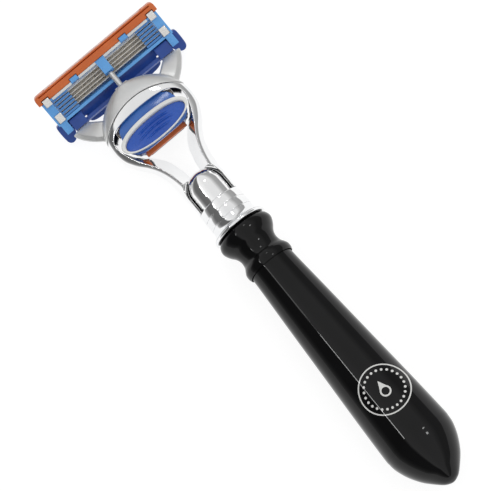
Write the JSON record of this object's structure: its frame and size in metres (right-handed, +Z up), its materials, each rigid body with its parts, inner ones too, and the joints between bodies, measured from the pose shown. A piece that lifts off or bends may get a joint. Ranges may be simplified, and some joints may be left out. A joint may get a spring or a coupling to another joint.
{
  "type": "cartridge razor",
  "caption": "Wet-shaving razor: turned black grip, chrome fork, sprung release button and a pivoting multi-blade cartridge with a rear trimmer.",
  "frame": {"origin": "bottom centre of the box: on the surface that the razor lies on, under the middle of its length", "axes": "+X across the cartridge, +Y along the grip from its tip to the head, +Z up, away from the blades"},
  "size_m": [0.0422, 0.153, 0.0201],
  "materials": {
    "chrome": "mirror-polished plating",
    "steel": "fine satin",
    "black_resin": "turned and polished",
    "grey_plastic": "satin, metallic fleck",
    "dark_plastic": "satin",
    "blue_plastic": "semi-gloss",
    "blue_rubber": "soft satin",
    "pale_blue": "semi-gloss",
    "ivory": "satin",
    "orange": "satin",
    "lube_strip": "waxy"
  },
  "bodies": {
    "handle": {"grip": "black_resin", "collar": "chrome", "post": "chrome", "threaded_stud": "steel", "fork_pin_left": "steel", "fork_pin_right": "steel", "fork": "chrome", "yoke": "grey_plastic", "bottom_cover": "dark_plastic", "button_spring": "steel", "plunger_spring": "steel"},
    "button": {"button_skirt": "blue_plastic", "button_rim": "ivory", "button_pad": "blue_rubber", "ejector": "orange"},
    "plunger": {"plunger": "grey_plastic"},
    "connector": {"connector": "blue_rubber"},
    "cartridge": {"housing": "pale_blue", "blade_comb_left": "blue_plastic", "blade_comb_right": "blue_plastic", "guard": "blue_rubber", "clip_left": "steel", "clip_right": "steel", "trimmer_carrier": "orange", "trimmer_blade": "steel", "lubricating_strip": "lube_strip", "blade_1": "steel", "blade_2": "steel", "blade_3": "steel", "blade_4": "steel", "blade_5": "steel", "blade_support_1": "steel", "blade_support_2": "steel", "blade_support_3": "steel", "blade_support_4": "steel", "blade_support_5": "steel"}
  },
  "joints": [
    {"name": "button_slide", "type": "slide", "parent": "handle", "child": "button", "axis": [0, 1, 0], "range_m": [0, 0.003], "stiffness_N_per_m": 350, "springref_m": -0.002, "deforming": ["button_spring"]},
    {"name": "cartridge_release", "type": "slide", "parent": "handle", "child": "connector", "axis": [0, 1, 0], "range_m": [0, 0.003]},
    {"name": "cartridge_pivot", "type": "hinge", "parent": "connector", "child": "cartridge", "pos_m": [0, 0.06517, 0.00602], "axis": [1, 0, 0], "range_deg": [0, 40], "stiffness_Nm_per_rad": 0.02, "springref_deg": -20.05},
    {"name": "plunger_slide", "type": "slide", "parent": "handle", "child": "plunger", "axis": [0, -1, 0], "range_m": [0, 0.0028], "deforming": ["plunger_spring"]}
  ],
  "couplings": [
    {"joint": "cartridge_release", "follows": "button_slide", "ratio": 1},
    {"joint": "plunger_slide", "follows": "cartridge_pivot", "m_per_rad": 0.0038}
  ]
}
